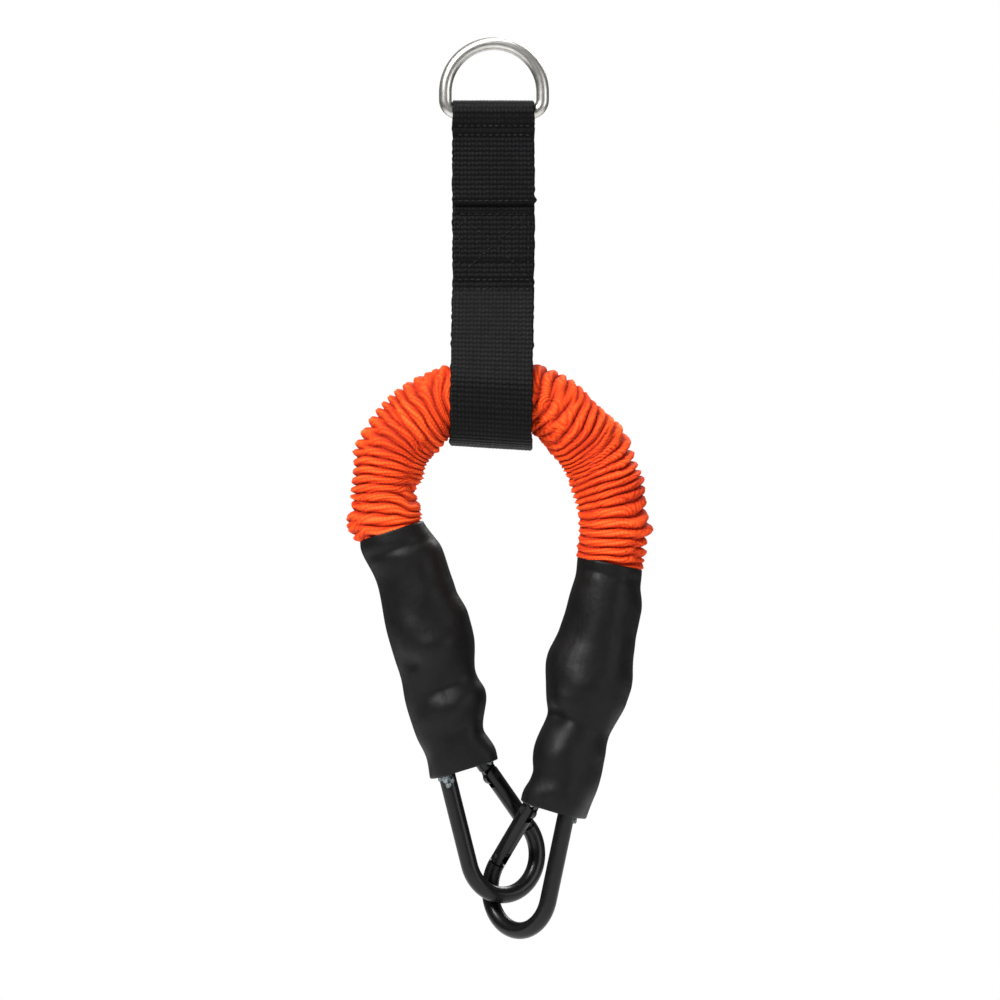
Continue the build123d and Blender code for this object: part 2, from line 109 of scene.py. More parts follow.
def lattice(name, rings, u, v, closed=False, end_caps=False):
    """A mesh over rings of points in mm, each ring closed. u has one value per ring point and one
    more, v one value per ring, and one more if the last ring joins the first."""
    rings = np.asarray(rings, float) * MM
    ni, nj = rings.shape[:2]
    rows = ni if closed else ni - 1
    i, j = np.meshgrid(np.arange(rows), np.arange(nj), indexing="ij")
    i2, j2 = (i + 1) % ni, (j + 1) % nj
    quads = np.stack([i * nj + j, i * nj + j2, i2 * nj + j2, i2 * nj + j], -1).reshape(-1, 4)
    u, v = np.asarray(u, float), np.asarray(v, float)
    uv = np.stack([np.stack([u[j], v[i]], -1), np.stack([u[j + 1], v[i]], -1),
                   np.stack([u[j + 1], v[i + 1]], -1), np.stack([u[j], v[i + 1]], -1)], 2)
    uv = uv.reshape(-1, 2)
    if end_caps:
        k = np.arange(nj // 2 - 1)
        cap = np.stack([k, k + 1, nj - 2 - k, nj - 1 - k], -1)
        quads = np.concatenate([quads, cap, cap + (ni - 1) * nj])
        uv = np.concatenate([uv, np.zeros((cap.shape[0] * 8, 2))])
    mesh = bpy.data.meshes.new(name)
    mesh.vertices.add(ni * nj)
    mesh.vertices.foreach_set("co", rings.astype(np.float32).ravel())
    mesh.loops.add(quads.size)
    mesh.loops.foreach_set("vertex_index", quads.astype(np.int32).ravel())
    mesh.polygons.add(len(quads))
    mesh.polygons.foreach_set("loop_start", np.arange(0, quads.size, 4, dtype=np.int32))
    mesh.update(calc_edges=True)
    mesh.uv_layers.new(name="UVMap").data.foreach_set("uv", uv.astype(np.float32).ravel())
    return shown(name, mesh)


def shown(name, mesh):
    """Links a mesh as a smooth-shaded object with its normals outward."""
    work = bmesh.new()
    work.from_mesh(mesh)
    bmesh.ops.recalc_face_normals(work, faces=work.faces)
    for face in work.faces:
        face.smooth = True
    work.to_mesh(mesh)
    work.free()
    piece = bpy.data.objects.new(name, mesh)
    bpy.context.scene.collection.objects.link(piece)
    return piece


def painted_relief(piece, **fields):
    """Stores one value per point for the material, such as how deep a fold or a yarn lies, from which
    the material paints shade and highlight.
    """
    for key, values in fields.items():
        attribute = piece.data.attributes.new(key, "FLOAT", "POINT")
        attribute.data.foreach_set("value", np.ascontiguousarray(values, dtype=np.float32).ravel())


# ---- Materials ----


class Paint:
    """A procedural material: a Principled shader and the nodes that feed it."""

    def __init__(self, name, **sockets):
        self.material = bpy.data.materials.new(name)
        self.material.use_nodes = True
        self.tree = self.material.node_tree
        self.shader = self.tree.nodes["Principled BSDF"]
        for key, value in sockets.items():
            self.shader.inputs[key.replace("_", " ")].default_value = value
        self.coords = self.tree.nodes.new("ShaderNodeTexCoord")
        self.normal = None

    def link(self, source, target):
        self.tree.links.new(source, target)

    def mapped(self, scale, kind="Object", turn=0.0):
        place = self.tree.nodes.new("ShaderNodeMapping")
        place.inputs["Scale"].default_value = scale
        place.inputs["Rotation"].default_value = (0, 0, turn)
        self.link(self.coords.outputs[kind], place.inputs["Vector"])
        return place.outputs["Vector"]

    def noise(self, scale, detail=4.0, rough=0.55, kind="Object", stretch=(1, 1, 1)):
        texture = self.tree.nodes.new("ShaderNodeTexNoise")
        texture.inputs["Scale"].default_value = scale
        texture.inputs["Detail"].default_value = detail
        texture.inputs["Roughness"].default_value = rough
        self.link(self.mapped(stretch, kind), texture.inputs["Vector"])
        return texture.outputs["Fac"]

    def wave(self, scale, turn):
        texture = self.tree.nodes.new("ShaderNodeTexWave")
        texture.inputs["Scale"].default_value = scale
        self.link(self.mapped((1, 1, 1), turn=turn), texture.inputs["Vector"])
        return texture.outputs["Fac"]

    def field(self, name):
        source = self.tree.nodes.new("ShaderNodeAttribute")
        source.attribute_name = name
        return source.outputs["Fac"]

    def math(self, operation, a, b):
        work = self.tree.nodes.new("ShaderNodeMath")
        work.operation = operation
        for socket, value in zip(work.inputs, (a, b)):
            if isinstance(value, (int, float)):
                socket.default_value = value
            else:
                self.link(value, socket)
        return work.outputs[0]

    def colours(self, source, *stops):
        ramp = self.tree.nodes.new("ShaderNodeValToRGB")
        while len(ramp.color_ramp.elements) < len(stops):
            ramp.color_ramp.elements.new(0.5)
        for element, (at, colour) in zip(ramp.color_ramp.elements, stops):
            element.position = at
            element.color = (*colour, 1)
        self.link(source, ramp.inputs["Fac"])
        self.link(ramp.outputs["Color"], self.shader.inputs["Base Color"])

    def roughness(self, source, low, high):
        spread = self.tree.nodes.new("ShaderNodeMapRange")
        spread.inputs["To Min"].default_value = low
        spread.inputs["To Max"].default_value = high
        self.link(source, spread.inputs["Value"])
        self.link(spread.outputs["Result"], self.shader.inputs["Roughness"])

    def bump(self, source, height, strength=1.0):
        """Relief of that many metres, on top of any bump made before."""
        relief = self.tree.nodes.new("ShaderNodeBump")
        relief.inputs["Distance"].default_value = height
        relief.inputs["Strength"].default_value = strength
        self.link(source, relief.inputs["Height"])
        if self.normal:
            self.link(self.normal, relief.inputs["Normal"])
        self.normal = relief.outputs["Normal"]
        self.link(self.normal, self.shader.inputs["Normal"])


def nickel():
    paint = Paint("nickel_plate", Metallic=1.0)
    paint.colours(paint.noise(260), (0.35, (0.50, 0.49, 0.46)), (0.7, (0.60, 0.59, 0.56)))
    paint.roughness(paint.noise(900, detail=6), 0.30, 0.42)
    paint.bump(paint.noise(320, detail=2), 0.00003, 0.5)
    paint.bump(paint.noise(4200, detail=2, stretch=(1, 1, 0.15)), 0.000012, 0.5)
    return paint.material


def hook_coating():
    paint = Paint("hook_coating", Coat_Weight=0.06, Coat_Roughness=0.14, Specular_IOR_Level=0.22)
    paint.colours(paint.noise(350), (0.3, (0.0018, 0.0018, 0.0021)), (0.75, (0.0042, 0.0042, 0.0048)))
    paint.roughness(paint.noise(700, detail=6), 0.24, 0.40)
    paint.bump(paint.noise(600, detail=2), 0.00003, 0.5)
    paint.bump(paint.noise(5200, detail=2), 0.00001, 0.4)
    return paint.material


def heat_shrink_skin():
    paint = Paint("heat_shrink", Specular_IOR_Level=0.16)
    paint.colours(paint.noise(160), (0.3, (0.0034, 0.0032, 0.0032)), (0.75, (0.0056, 0.0052, 0.0052)))
    paint.roughness(paint.noise(240, detail=7, rough=0.6), 0.42, 0.56)
    paint.bump(paint.noise(300, detail=3), 0.00035, 0.5)
    paint.bump(paint.noise(4800, detail=3), 0.00004, 0.4)
    paint.bump(paint.noise(900, detail=2, stretch=(1, 1, 0.12)), 0.00008, 0.35)
    return paint.material


def black_webbing():
    paint = Paint("black_webbing", Specular_IOR_Level=0.10)
    yarn = paint.noise(1.0, detail=3, kind="UV", stretch=(3200, 1300, 1))
    patches = paint.noise(1.0, detail=2, kind="UV", stretch=(110, 60, 1))
    uneven = paint.math("ADD", yarn, paint.math("MULTIPLY", patches, 0.4))
    # The crest value paints the rib crests lighter and the valleys between ribs and the rows under the
    # stitches darker: painted highlight and painted shade.
    crest = paint.math("MULTIPLY", paint.field("crest"), uneven)
    paint.colours(crest, (0.15, (0.0008, 0.0008, 0.0010)), (0.50, (0.0030, 0.0030, 0.0035)),
                  (0.78, (0.014, 0.014, 0.016)), (0.98, (0.050, 0.050, 0.055)))
    paint.roughness(yarn, 0.38, 0.66)
    paint.bump(yarn, 0.00010, 0.7)
    return paint.material


def black_thread():
    paint = Paint("black_thread", Specular_IOR_Level=0.16)
    paint.colours(paint.noise(900), (0.3, (0.0018, 0.0018, 0.0022)), (0.75, (0.009, 0.009, 0.010)))
    paint.roughness(paint.noise(1500), 0.35, 0.55)
    paint.bump(paint.wave(480, 0.7), 0.00006, 0.7)
    return paint.material


def orange_knit():
    paint = Paint("orange_knit", Specular_IOR_Level=0.18, Sheen_Weight=0.10, Sheen_Roughness=0.45)
    paint.shader.inputs["Sheen Tint"].default_value = (1.0, 0.45, 0.2, 1)
    fuzz = paint.noise(1.0, detail=4, kind="UV", stretch=(2400, 2400, 1))
    patch = paint.noise(130, detail=3)
    # The fold and strand values paint the knit darker and redder in the fold valleys and between
    # strands, and brighter on fold crests and strands: painted shade and painted highlight. The patch
    # noise is an uneven tone.
    strand, fold = paint.field("strand"), paint.field("fold")
    shade = paint.math("MULTIPLY", paint.math("ADD", paint.math("MULTIPLY", strand, 0.70), 0.36), fold)
    shade = paint.math("ADD", paint.math("MULTIPLY", shade, 0.86), paint.math("MULTIPLY", patch, 0.14))
    paint.colours(shade, (0.08, (0.24, 0.008, 0.0012)), (0.34, (0.56, 0.030, 0.003)),
                  (0.56, (0.86, 0.070, 0.006)), (0.86, (0.98, 0.130, 0.024)))
    paint.roughness(fuzz, 0.62, 0.88)
    paint.bump(fuzz, 0.00012, 0.5)
    return paint.material


def frosty_adhesive():
    paint = Paint("frosty_adhesive", Transmission_Weight=0.2, IOR=1.48, Subsurface_Weight=0.2,
                  Coat_Weight=0.2)
    paint.shader.inputs["Subsurface Radius"].default_value = (0.001, 0.001, 0.001)
    paint.colours(paint.noise(900), (0.32, (0.05, 0.07, 0.08)), (0.68, (0.30, 0.35, 0.37)))
    paint.roughness(paint.noise(1300), 0.25, 0.6)
    paint.bump(paint.noise(1500), 0.0004, 0.8)
    return paint.material


def plain_paint(name, dark, light, low, high, **sockets):
    paint = Paint(name, **sockets)
    paint.colours(paint.noise(420), (0.3, dark), (0.72, light))
    paint.roughness(paint.noise(1100, detail=5), low, high)
    paint.bump(paint.noise(1600, detail=4), 0.00005, 0.5)
    return paint.material


def braided_cord():
    paint = Paint("braided_cord", Sheen_Weight=0.2)
    paint.colours(paint.noise(800), (0.3, (0.50, 0.48, 0.43)), (0.72, (0.78, 0.76, 0.70)))
    paint.roughness(paint.noise(1600), 0.6, 0.85)
    paint.bump(paint.wave(260, 0.8), 0.00025, 0.8)
    paint.bump(paint.wave(260, -0.8), 0.00020, 0.6)
    return paint.material


def dress(piece, material):
    piece.data.materials.clear()
    piece.data.materials.append(material)


WEBBING, THREAD, KNIT = black_webbing(), black_thread(), orange_knit()
NICKEL, HOOK, SHRINK, ADHESIVE = nickel(), hook_coating(), heat_shrink_skin(), frosty_adhesive()
LATEX = plain_paint("latex", (0.44, 0.29, 0.12), (0.62, 0.44, 0.22), 0.5, 0.7, Subsurface_Weight=0.1)
PLUG = plain_paint("moulded_nylon", (0.60, 0.58, 0.52), (0.76, 0.74, 0.68), 0.4, 0.6)
PIN = plain_paint("blackened_steel", (0.05, 0.05, 0.052), (0.12, 0.12, 0.125), 0.25, 0.42, Metallic=0.9)
SPRING = plain_paint("spring_steel", (0.42, 0.42, 0.43), (0.60, 0.60, 0.61), 0.22, 0.38, Metallic=1.0)
CORD = braided_cord()

CAD_LOOKS = {"d_ring": NICKEL, "elastic_core": LATEX, "sleeve_tie": CORD, "end_plug": PLUG,
             "anchor_cord": CORD, "cord_whipping": CORD, "adhesive_bead": ADHESIVE,
             "hook_body": HOOK, "gate_spring": SPRING, "gate_plunger": PIN, "hinge_pin": PIN,
             "latch_pin": PIN, "gate": HOOK, "strap_webbing": WEBBING, "stitching": THREAD,
             "fabric_sleeve": KNIT, "heat_shrink": SHRINK}
for node_name, node_piece in nodes.items():
    stem = next(s for s in sorted(CAD_LOOKS, key=len, reverse=True) if node_name.startswith(s))
    dress(node_piece, CAD_LOOKS[stem])


# ---- Webbing: one strip, from its cut end over the ring's bar, round the loop and back up ----

PLY, HALF_PLY = 1.3, 0.60
BAR_Z, EYE_R = -18.9, 3.2
CUT_Z, MEET_Z, SPLIT_Z, REAR_END_Z = -46.4, -26.5, -71.5, -27.0
LOOP_R, LOOP_UPPER_Z, LOOP_LOWER_Z = 11.9, -102.3, -107.0
STRAP_HALF = 12.2
RIB, COLUMNS = 1.43, 22
RINGS_PER_RIB, POINTS_PER_COLUMN = 6, 4
RIB_HEIGHT, FACE_DROP, SEAM_DROP, COLUMN_LEAN = 0.24, 0.14, 0.13, 0.05
FRAY, MELTED_CORNER, EDGE_ROUNDING = 0.24, 0.7, 0.045
# Heights where the webbing is drawn in a little, most of them under rows of stitches.
SEAMS = (-22.9, -25.7, -45.5, -49.2, -63.6, -69.0, -72.0)


def arc(centre_z, radius, start, end):
    turn = np.radians(np.linspace(start, end, 90))
    return [(radius * cos(a), centre_z + radius * sin(a)) for a in turn]


def tangent_angle(y, z, centre_z, radius, side):
    """Angle on the circle where the line from (y, z) touches it."""
    reach = sqrt(y * y + (z - centre_z) ** 2)
    return degrees(atan2(z - centre_z, y) + side * acos(radius / reach))


def strip_path():
    """The middle line of the strip, as (y, z) seen from the side, and its distances."""
    front, rear, middle = -1.5 * PLY, 0.5 * PLY, -0.5 * PLY
    start = tangent_angle(front, MEET_Z, BAR_Z, EYE_R, -1) % 360
    end = tangent_angle(rear, MEET_Z, BAR_Z, EYE_R, 1)
    spread = tangent_angle(rear, SPLIT_Z, LOOP_UPPER_Z, LOOP_R, -1)
    path = [(front, CUT_Z), (front, MEET_Z)] + arc(BAR_Z, EYE_R, start, end)
    path += [(rear, MEET_Z), (rear, SPLIT_Z)] + arc(LOOP_UPPER_Z, LOOP_R, spread, 0)
    path += arc(LOOP_LOWER_Z, LOOP_R, 0, -180) + arc(LOOP_UPPER_Z, LOOP_R, 180, 180 - spread)
    path += [(middle, SPLIT_Z), (middle, REAR_END_Z)]
    fine, _ = respace(np.array(path), 0.1)
    return respace(blur(fine, 7), RIB / RINGS_PER_RIB)


def strip_drift(z):
    """Sideways drift and tilt of the strap, which hangs a little askew towards its loop."""
    low = smoothstep(-z, 60, 118)
    return -0.15 - 0.75 * low, 0.062 * smoothstep(-z, 72, 112)


def webbing():
    path, along = strip_path()
    normal = normals_of(path)
    across = np.linspace(-1, 1, COLUMNS * POINTS_PER_COLUMN + 1)
    column = (across + 1) / 2 * COLUMNS
    valley = np.abs(np.sin(pi * column)) ** 0.5
    lean = np.where(np.floor(column).astype(int) % 2 == 0, COLUMN_LEAN, -COLUMN_LEAN)
    past = np.clip(np.abs(across) - (1 - EDGE_ROUNDING), 0, 1) / EDGE_ROUNDING
    edge = np.sqrt(np.clip(1 - past ** 2, 0.02, 1))
    z = path[:, 1]
    drift, tilt = strip_drift(z)
    at = np.stack([along, along * 0, along * 0], 1)
    wobble = 0.12 * noise3(at, 5.0, 5)
    # Both edges are a little frayed, and heat has left a lump at one corner of the cut end.
    frayed = (FRAY * noise3(at, 1.5, 8), FRAY * noise3(at, 1.5, 9))
    melted = MELTED_CORNER * bell(along, 1.2, 1.0)
    dip = sum(bell(z, s, 0.75) for s in SEAMS) * (np.abs(path[:, 0]) < 4.4)
    place = np.stack(np.broadcast_arrays(along[:, None], across[None] * STRAP_HALF, 0.0), -1)
    uneven = 0.05 * noise3(place, 2.2, 6) + 0.09 * noise3(place, 9.0, 7)
    # The ribs of one side lie between those of the other.
    faces, crests = [], []
    for side, shift in ((1, 0.0), (-1, 0.5)):
        phase = along[:, None] / RIB + lean[None] + shift
        rib = np.abs(np.sin(pi * phase)) ** 0.6
        relief = RIB_HEIGHT * rib * (0.66 + 0.34 * valley[None]) - FACE_DROP
        # Painted highlight and painted shade for the material: lighter on rib crests, darker in the
        # valleys between ribs and under the stitch rows, and raised near the bottom of the loop, which
        # comes out lighter there.
        rib_light = rib ** 1.5 * (0.30 + 0.70 * valley[None] ** 2) * (1 - 0.75 * dip[:, None])
        crests.append(rib_light * (1 + 0.8 * bell(z, z.min() + 0.3, 0.8)[:, None]))
        relief = relief * edge[None] - SEAM_DROP * dip[:, None]
        height = HALF_PLY * edge[None] + relief + 0.4 * side * uneven
        selvedge = smoothstep(np.abs(across), 0.86, 1.0)[None]
        ragged = np.where(across[None] < 0, frayed[0][:, None], (frayed[1] + melted)[:, None])
        fringe = STRAP_HALF + wobble[:, None] + (0.12 * rib + ragged) * selvedge
        x = across[None] * fringe + drift[:, None]
        y = path[:, 0][:, None] + side * height * normal[:, 0][:, None]
        height_z = path[:, 1][:, None] + side * height * normal[:, 1][:, None]
        faces.append(np.stack([x, y, height_z - tilt[:, None] * x], -1))
    rings = np.concatenate([faces[0], faces[1][:, ::-1]], 1)
    flat = across * STRAP_HALF * MM
    u = np.concatenate([flat, flat[::-1], flat[:1]])
    piece = lattice("webbing_strip", rings, u, along * MM, end_caps=True)
    painted_relief(piece, crest=np.concatenate([crests[0], crests[1][:, ::-1]], 1))
    dress(piece, WEBBING)
    return piece


strip = webbing()
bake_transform(strip)
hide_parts("strap_webbing_upper", "strap_webbing_loop")


# ---- Stitches ----

STITCH_STEPS, THREAD_SIDES = 9, 8


def thread_run(start, end, count, normal_y, depth=0.30, radius=0.27):
    """Rings of a row of stitches between two (x, y, z) points, each arched out of the webbing."""
    start, end = np.array(start, float), np.array(end, float)
    run = (end - start) / count
    length = np.linalg.norm(run)
    forward = run / length
    out = np.array([0, normal_y, 0.0])
    side = np.cross(forward, out)
    stitches = []
    for i in range(count):
        a = start + run * (i + 0.10)
        b = start + run * (i + 0.90)
        loops = []
        for t in np.linspace(0, 1, STITCH_STEPS):
            lift = depth * (sin(pi * t) ** 0.5 - 0.75)
            centre = a + (b - a) * t + out * lift
            thick = radius * (0.55 + 0.45 * sin(pi * t) ** 0.5)
            loops.append([centre + (side * cos(q) * thick + out * sin(q) * thick * 0.75)
                          for q in np.linspace(0, 2 * pi, THREAD_SIDES, endpoint=False)])
        stitches.append(loops)
    return stitches


def thread_piece(name, runs, node):
    verts, faces = [], []
    for stitch in runs:
        base = len(verts)
        for ring in stitch:
            verts += [tuple(np.array(p) * MM) for p in ring]
        starts = [base + i * THREAD_SIDES for i in range(len(stitch))]
        for low, high in zip(starts, starts[1:]):
            for j in range(THREAD_SIDES):
                k = (j + 1) % THREAD_SIDES
                faces.append((low + j, low + k, high + k, high + j))
        for end in (starts[0], starts[-1]):
            faces.append(tuple(end + j for j in range(THREAD_SIDES)))
    mesh = bpy.data.meshes.new(name)
    mesh.from_pydata(verts, [], faces)
    piece = shown(name, mesh)
    dress(piece, THREAD)
    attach(piece, "strap_upper")
    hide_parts(node)


def level_row(z, front, back, half=11.0, count=12, slope=0.0):
    runs = thread_run((-half, front, z - slope), (half, front, z + slope), count, -1)
    return runs + thread_run((-half, back, z - slope), (half, back, z + slope), count, 1)


def cross_box_runs(front, back):
    half, top, bottom = 10.3, -49.4, -67.6
    middle = (top + bottom) / 2
    corners = [(-half, top), (half, top), (half, bottom), (-half, bottom)]
    runs = []
    for y, out in ((front, -1), (back, 1)):
        for (x0, z0), (x1, z1) in zip(corners, corners[1:] + corners[:1]):
            count = 10 if z0 == z1 else 8
            runs += thread_run((x0, y, z0), (x1, y, z1), count, out, radius=0.22)
        for x0, z0 in corners:
            runs += thread_run((x0 * 0.9, y, middle + (z0 - middle) * 0.9),
                               (x0 * 0.08, y, middle + (z0 - middle) * 0.08), 6, out, radius=0.22)
    return runs


FRONT_3, FRONT_2, BACK = -2 * PLY - 0.02, -PLY - 0.02, PLY + 0.02
thread_piece("thread_ring_end", level_row(-25.7, FRONT_3, BACK) + level_row(-23.0, -3.1, 1.9),
             "stitching_ring_end")
thread_piece("thread_front_end", level_row(-45.4, FRONT_3, BACK, count=11, slope=0.08),
             "stitching_front_end")
thread_piece("thread_cross_box", cross_box_runs(FRONT_2, BACK), "stitching_cross_box")
thread_piece("thread_loop_end",
             level_row(-69.0, FRONT_2, BACK) + level_row(-71.9, FRONT_2 - 0.05, BACK + 0.05),
             "stitching_loop_end")


# ---- Bunched sleeve ----

CORE_R, SLEEVE_R = 6.7, 10.0
SLEEVE_LINE = [(-28.4, -151.6), (-30.4, -147.2), (-32.1, -141.5), (-31.7, -134.5), (-31.8, -127.5),
               (-29.7, -120.0), (-25.3, -113.6), (-19.4, -108.0), (-10.5, -104.0), (0.0, -102.6),
               (9.3, -103.2), (17.6, -107.6), (24.2, -114.2), (29.6, -121.0), (32.2, -128.5),
               (34.5, -136.0), (35.1, -143.5), (34.7, -151.0), (33.5, -157.5), (32.4, -162.5)]
LEFT_MOUTH_S, RIGHT_MOUTH_S = 7.6, 8.4
# Pitch, lean, seed and height of each train of folds.
FOLD_TRAINS = ((2.6, 0.05, 21, 1.0), (3.1, -0.22, 22, 1.0), (2.2, 0.20, 23, 0.92))
# Height, share of the way along, spread and angle of each bulge.
BULGES = ((1.0, 0.790, 3.0, 0.2), (2.4, 0.872, 2.4, 0.1), (0.8, 0.715, 3.2, 0.4),
          (0.6, 0.20, 3.4, 0.3), (1.7, 0.075, 2.2, 0.0))
NOISE_R, TURNS_R, LOOP_WIDTH = 9.0, 9.0, 1.15


def fold_relief(around, s, q, share):
    """How high the folds and the knitted strands stand, from about 0 to 1 at each point."""
    slant = 0.9 * bell(share, 0.66, 0.08) - 0.35 * bell(share, 0.34, 0.08)
    # Each train of folds has its own pitch and slant. Where one fades, the next takes over, so
    # folds fork and merge.
    warp = noise3(around, 7.5, 11)
    broad = noise3(around, 15.0, 12)
    fine = noise3(around, 3.2, 13)
    trains, knit = [], []
    for pitch, lean, seed, gain in FOLD_TRAINS:
        own = noise3(around, 6.0, seed)
        shift = 0.38 * warp + 0.50 * broad + 0.10 * fine + 0.22 * own
        tilt = (lean + slant * 1.3) * np.cos(q - 0.6) * 0.9 + slant * 0.9 * np.sin(q)
        phase = s / pitch + shift + tilt
        rope = np.abs(np.sin(pi * phase)) ** 0.6
        trains.append(gain * (0.80 + 0.26 * noise3(around, 8.5, seed + 10)) * rope)
        knit.append(phase * 2.0)
    weight = np.stack([1.0 + 0.8 * noise3(around, 11.0, 31 + k) for k in range(len(FOLD_TRAINS))], 0)
    # The first train shows most.
    weight[0] += 0.35
    weight = np.clip(weight, 0.05, None) ** 14
    weight /= weight.sum(0)
    folds = sum(w * t for w, t in zip(weight, trains))
    # Knitted strands run round the sleeve with the folds, a little twisted, as beads of loops.
    lay = sum(w * k for w, k in zip(weight, knit)) + q * SLEEVE_R / TURNS_R + 0.12 * fine
    strand = np.abs(np.sin(pi * lay)) ** 0.7
    loops = np.abs(np.sin(pi * (q * SLEEVE_R / LOOP_WIDTH + 0.35 * warp + 0.5 * np.floor(lay)))) ** 0.6
    return folds, strand * (0.45 + 0.55 * loops)


def sleeve_radius(around, s, q, along, share, line_z, folds, beads):
    """The sleeve's radius at each point, with its folds, strands, lumps and bulges."""
    length = along[-1]
    right = smoothstep(share, 0.50, 0.60)
    middle = bell(share, 0.5, 0.17)
    outer_side = np.clip(np.cos(q), 0, 1)
    inside = 0.5 - 0.5 * np.cos(q)
    lumps = 0.55 * noise3(around, 10.0, 41) + 0.30 * noise3(around, 5.0, 42)
    bulge = sum(size * bell(s, at * length, width) * np.clip(np.cos(q - angle), 0, 1) ** 1.5
                for size, at, width, angle in BULGES)
    depth = (1.9 + 0.4 * right) * (1 - 0.15 * middle) * (1 + 0.35 * outer_side)
    depth = depth * (1 - 0.35 * inside ** 2)
    radius = SLEEVE_R + depth * (folds - 0.55) + 0.50 * (beads - 0.5)
    radius = radius + lumps * (0.6 + 0.4 * right) + bulge
    radius = radius + 0.7 * outer_side ** 2 * (1 - middle)
    radius = radius - inside ** 2 * right * (0.4 + 0.9 * bell(share, 0.74, 0.10))
    # Room for the strap's lower edge at the end of the slide.
    radius = radius - 2.1 * inside ** 2 * bell(line_z, -132.4, 3.0)[:, None] * (share < 0.5)
    # Inside the boots the sleeve is drawn in under its binding.
    tuck = (1 - smoothstep(along, LEFT_MOUTH_S - 1.6, LEFT_MOUTH_S + 0.8)
            + smoothstep(along, length - RIGHT_MOUTH_S - 0.8, length - RIGHT_MOUTH_S + 1.6))[:, None]
    hugged = bell(along, LEFT_MOUTH_S + 1.0, 2.0) + bell(along, length - RIGHT_MOUTH_S - 1.0, 2.0)
    radius = radius - 0.4 * hugged[:, None]
    return radius * (1 - tuck) + (8.0 + 0.25 * folds) * tuck


def sleeve():
    rough, _ = respace(np.array(SLEEVE_LINE), 0.1)
    line, along = respace(blur(rough, 28), 0.19)
    outward = normals_of(line)
    count, inner_step = 208, 12
    turn = np.linspace(0, 2 * pi, count, endpoint=False)
    s = np.broadcast_to(along[:, None], (len(along), count))
    q = np.broadcast_to(turn[None], s.shape)
    # Each point's place if the sleeve were straight, where the noise is taken.
    around = np.stack([np.cos(q) * NOISE_R, np.sin(q) * NOISE_R, s], -1)
    share = (along / along[-1])[:, None]
    folds, beads = fold_relief(around, s, q, share)
    radius = sleeve_radius(around, s, q, along, share, line[:, 1], folds, beads)
    # Front and back are a little flatter, clear of the webbing.
    flat = np.minimum(radius - 0.35, 11.0)
    side_x = np.cos(q) * radius
    side_y = np.sin(q) * flat
    outer = np.stack([line[:, 0][:, None] + outward[:, 0][:, None] * side_x, side_y,
                      line[:, 1][:, None] + outward[:, 1][:, None] * side_x], -1)
    inner_rows = np.arange(len(along) - 1, -1, -inner_step)
    inner_x, inner_y = np.cos(turn) * CORE_R, np.sin(turn) * CORE_R
    inner = np.stack([np.stack([line[i, 0] + outward[i, 0] * inner_x, inner_y,
                                line[i, 1] + outward[i, 1] * inner_x], -1) for i in inner_rows])
    v = np.concatenate([along, along[inner_rows], along[:1]]) * MM
    u = np.linspace(0, 2 * pi * SLEEVE_R, count + 1) * MM
    piece = lattice("bunched_sleeve", np.concatenate([outer, inner]), u, v, closed=True)
    hidden = np.full((len(inner_rows), count), 0.5)
    # The fold and strand heights go to the knit material, which paints shade in the valleys and
    # highlight on the crests from them.
    painted_relief(piece, fold=np.concatenate([np.clip(folds, 0, 1.1) ** 1.3, hidden]),
                   strand=np.concatenate([beads, hidden]))
    dress(piece, KNIT)
    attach(piece, "tether")
    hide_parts("fabric_sleeve")


sleeve()


# ---- Heat-shrunk boots: distance down the leg, then its reach to the left and to the right ----

LEFT_BOOT = [(-0.3, -9.9, 9.9), (2, -10.6, 10.5), (5, -10.3, 11.7), (8, -9.6, 12.9),
             (11, -9.0, 13.1), (14, -8.8, 13.1), (17, -9.0, 13.1), (20, -9.4, 13.3),
             (23, -9.8, 13.2), (26, -10.2, 14.0), (29, -10.4, 14.7), (35, -10.5, 14.5),
             (38, -10.5, 14.2), (41, -10.4, 13.4), (44, -10.5, 12.3), (47, -11.0, 11.5),
             (50, -11.4, 11.8), (53, -11.5, 12.9), (56, -11.5, 12.5), (59, -11.4, 11.0),
             (62, -11.2, 9.4), (65, -10.5, 8.4), (68, -10.2, 9.6), (71, -10.6, 10.5),
             (74.2, -11.2, 10.2)]
RIGHT_BOOT = [(-0.3, -9.9, 9.9), (2, -9.6, 10.3), (5, -9.2, 10.5), (8, -9.5, 11.7),
              (11, -9.8, 12.4), (17, -10.0, 12.4), (20, -10.4, 12.4), (23, -10.7, 12.8),
              (26, -11.5, 13.0), (29, -12.4, 13.5), (32, -12.6, 14.2), (35, -12.1, 14.4),
              (38, -11.3, 14.0), (41, -10.6, 13.7), (44, -9.8, 12.7), (47, -8.6, 11.7),
              (50, -9.0, 10.7), (53, -9.8, 10.5), (56, -10.4, 10.9), (59, -10.6, 10.8),
              (62, -10.1, 10.9), (65, -9.1, 10.8), (68, -9.5, 10.4), (71, -10.4, 9.8),
              (75.2, -10.3, 9.3)]
# Distance, backward offset, half depth and turn of the section, close to the CAD boot's.
LEFT_DEPTH = [(0, 0, 9.9, 0), (6, 0, 10.9, 0), (28, 0, 11.5, 0), (36, 0.3, 11.2, 0),
              (43, 0.8, 10.2, 0), (50, 1.3, 10.1, -4), (60, 1.9, 9.5, -12), (68, 2.5, 8.5, -22),
              (74, 3.2, 7.1, -31)]
RIGHT_DEPTH = [(0, 0, 9.9, 0), (7, 0, 10.4, 0), (15, 0, 10.8, 0), (30, 0, 11.7, 0),
               (37, -0.6, 11.5, 0), (46, -1.8, 10.3, 6), (55, -3.4, 9.9, 16), (65, -4.6, 8.9, 30),
               (74.3, -3.2, 6.9, 42)]
